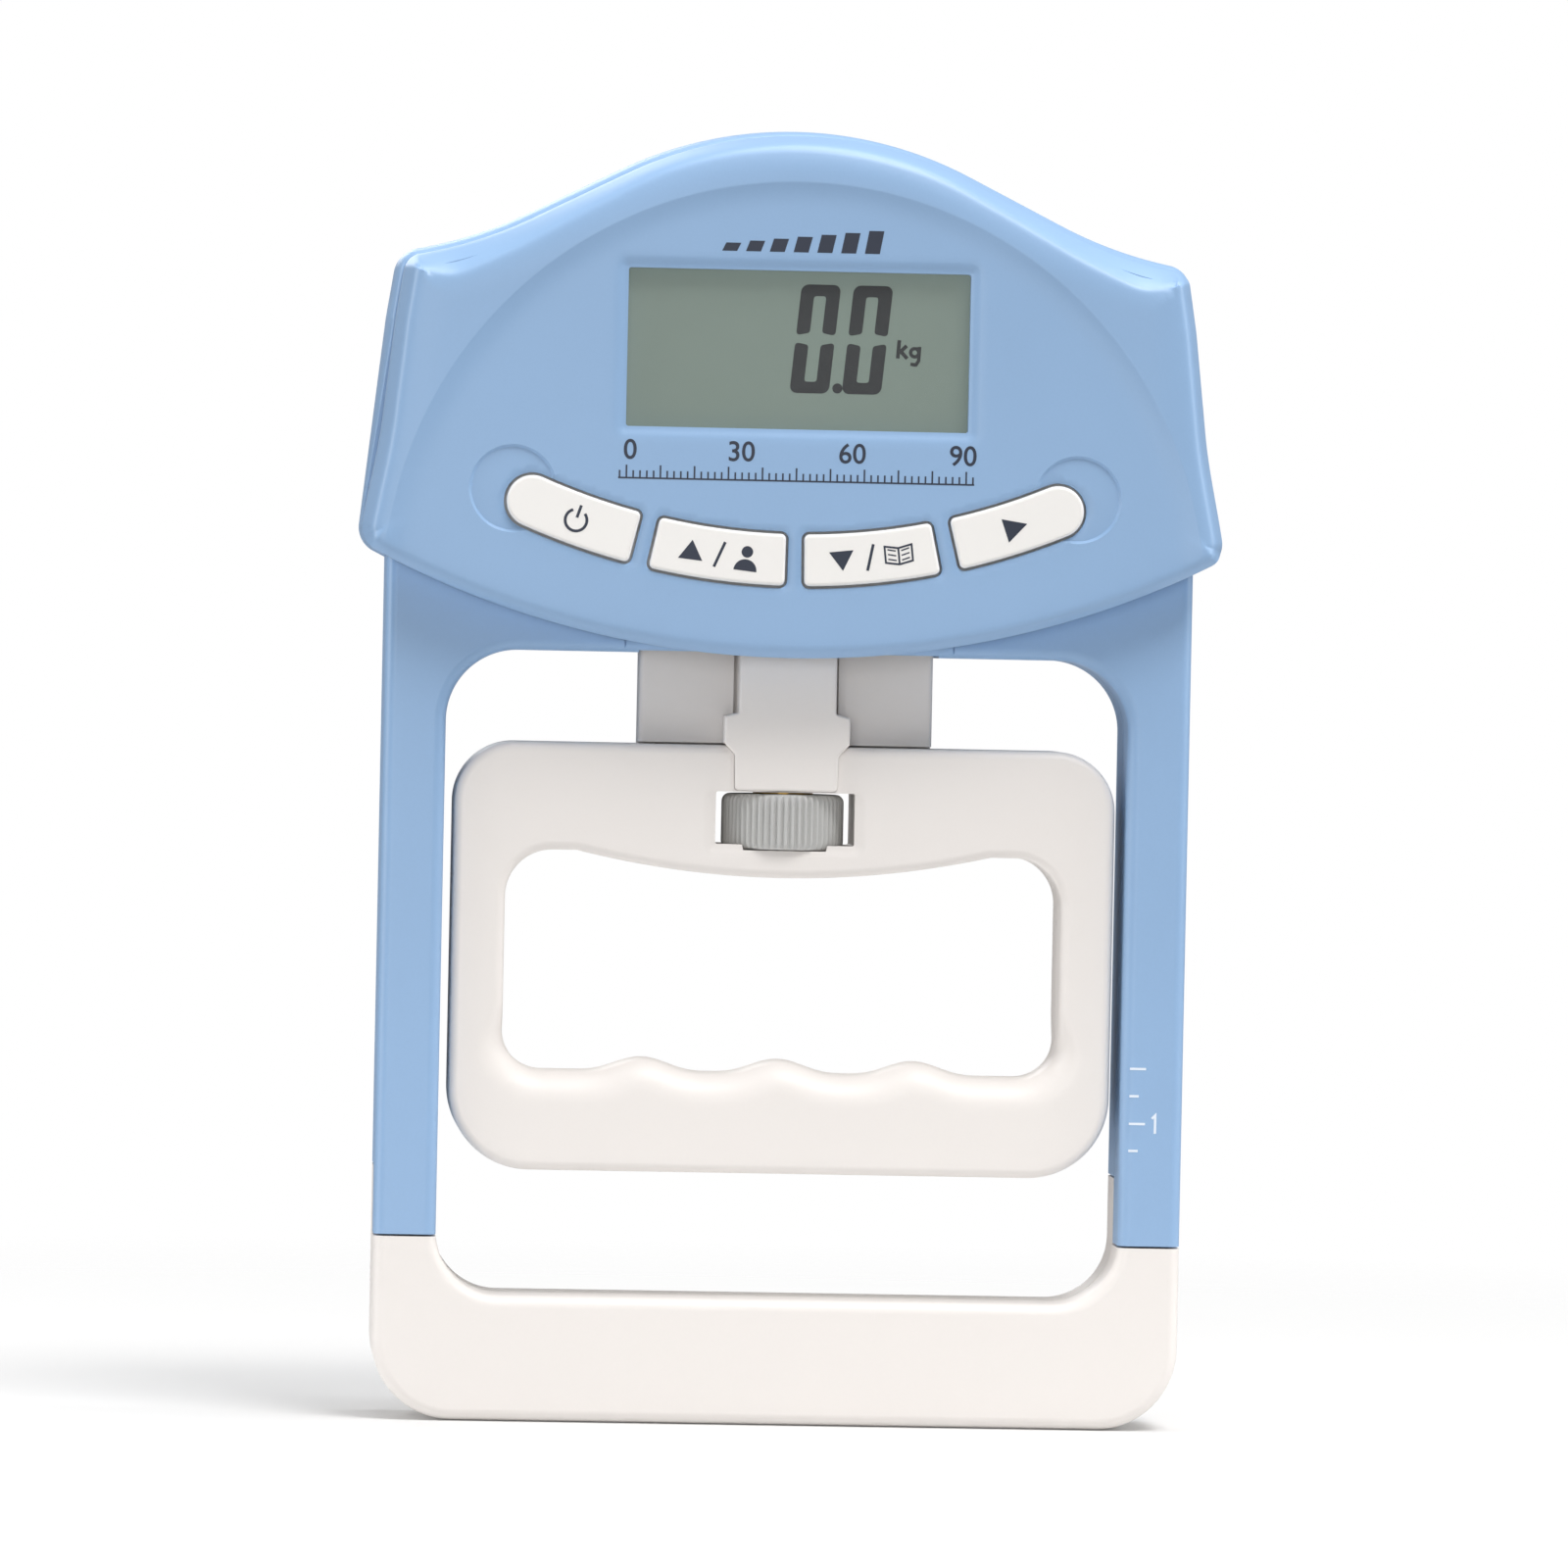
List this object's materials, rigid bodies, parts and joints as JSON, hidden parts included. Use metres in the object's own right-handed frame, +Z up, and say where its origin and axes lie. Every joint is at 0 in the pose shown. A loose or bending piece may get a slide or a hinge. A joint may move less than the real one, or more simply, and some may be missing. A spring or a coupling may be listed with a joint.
{
  "type": "hand dynamometer",
  "caption": "Electronic hand grip dynamometer: a display head on an open frame, a sliding finger handle on a load cell, a height-adjusting wheel, press keys and a battery door.",
  "frame": {"origin": "on the table, under the middle of the object's box", "axes": "+Z up along the frame, the display faces -Y, +X to the right seen from the display side"},
  "size_m": [0.1272, 0.028, 0.1914],
  "materials": {
    "blue_plastic": "fine satin moulded ABS",
    "white_plastic": "warm white satin moulded ABS",
    "key_plastic": "white key caps with dark printed legends",
    "grey_plastic": "fluted grey nylon",
    "clear_lens": "clear acrylic window",
    "lcd_cell": "grey-green reflective display",
    "black_plastic": "black moulded plastic and epoxy",
    "elastomer": "striped conductive elastomer",
    "circuit_board": "green solder mask",
    "plated_steel": "zinc-plated steel",
    "aluminium": "machined aluminium",
    "brass": "turned brass",
    "silicone": "white silicone potting",
    "battery_sleeve": "printed plastic sleeve on a steel can",
    "red_wire": "red insulated lead",
    "black_wire": "black insulated lead",
    "grey_cable": "grey insulated cable"
  },
  "bodies": {
    "frame": {"head_cover": "blue_plastic", "frame_front": "blue_plastic", "frame_rear": "blue_plastic", "base_front": "white_plastic", "base_rear": "white_plastic", "lcd_window": "clear_lens", "lcd_glass": "lcd_cell", "lcd_holder": "black_plastic", "cob_chip": "black_plastic", "switch_body_1": "black_plastic", "switch_body_2": "black_plastic", "switch_body_3": "black_plastic", "switch_body_4": "black_plastic", "zebra_strip": "elastomer", "main_board": "circuit_board", "cell_bracket": "plated_steel", "cell_bolt": "plated_steel", "pull_rod": "plated_steel", "rod_locknut": "plated_steel", "contact_link": "plated_steel", "contact_plate": "plated_steel", "contact_spring_1": "plated_steel", "contact_spring_2": "plated_steel", "head_screw_1": "plated_steel", "head_screw_2": "plated_steel", "head_screw_3": "plated_steel", "head_screw_4": "plated_steel", "leg_screw_1": "plated_steel", "leg_screw_2": "plated_steel", "base_screw_1": "plated_steel", "base_screw_2": "plated_steel", "bracket_screw_1": "plated_steel", "bracket_screw_2": "plated_steel", "board_screw_1": "plated_steel", "board_screw_2": "plated_steel", "load_cell": "aluminium", "gauge_potting": "silicone", "battery_1": "battery_sleeve", "battery_2": "battery_sleeve", "lead_red": "red_wire", "lead_black": "black_wire", "cell_cable": "grey_cable"},
    "handle": {"handle_front": "white_plastic", "handle_rear": "white_plastic", "stem_cover": "white_plastic", "handle_screw_1": "plated_steel", "handle_screw_2": "plated_steel", "handle_screw_3": "plated_steel", "handle_screw_4": "plated_steel"},
    "wheel": {"adjusting_wheel": "grey_plastic", "threaded_sleeve": "brass"},
    "door": {"battery_door": "blue_plastic"},
    "power_key": {"key_power": "key_plastic", "switch_plunger_1": "plated_steel"},
    "up_key": {"key_up": "key_plastic", "switch_plunger_2": "plated_steel"},
    "down_key": {"key_down": "key_plastic", "switch_plunger_3": "plated_steel"},
    "start_key": {"key_start": "key_plastic", "switch_plunger_4": "plated_steel"}
  },
  "joints": [
    {"name": "handle_slide", "type": "slide", "parent": "frame", "child": "handle", "axis": [0, 0, 1], "range_m": [-0.012, 0.011]},
    {"name": "wheel_spin", "type": "hinge", "parent": "handle", "child": "wheel", "pos_m": [0, 0.004, 0.0891], "axis": [0, 0, 1], "range_deg": [-2165, 1985]},
    {"name": "door_hinge", "type": "hinge", "parent": "frame", "child": "door", "pos_m": [0, 0.0145, 0.1599], "axis": [-1, 0, 0], "range_deg": [0, 75]},
    {"name": "power_key_press", "type": "slide", "parent": "frame", "child": "power_key", "axis": [0, 1, 0], "range_m": [0, 0.0008], "stiffness_N_per_m": 1000},
    {"name": "up_key_press", "type": "slide", "parent": "frame", "child": "up_key", "axis": [0, 1, 0], "range_m": [0, 0.0008], "stiffness_N_per_m": 1000},
    {"name": "down_key_press", "type": "slide", "parent": "frame", "child": "down_key", "axis": [0, 1, 0], "range_m": [0, 0.0008], "stiffness_N_per_m": 1000},
    {"name": "start_key_press", "type": "slide", "parent": "frame", "child": "start_key", "axis": [0, 1, 0], "range_m": [0, 0.0008], "stiffness_N_per_m": 1000}
  ],
  "couplings": [
    {"joint": "wheel_spin", "follows": "handle_slide", "rad_per_m": 3141.6}
  ]
}
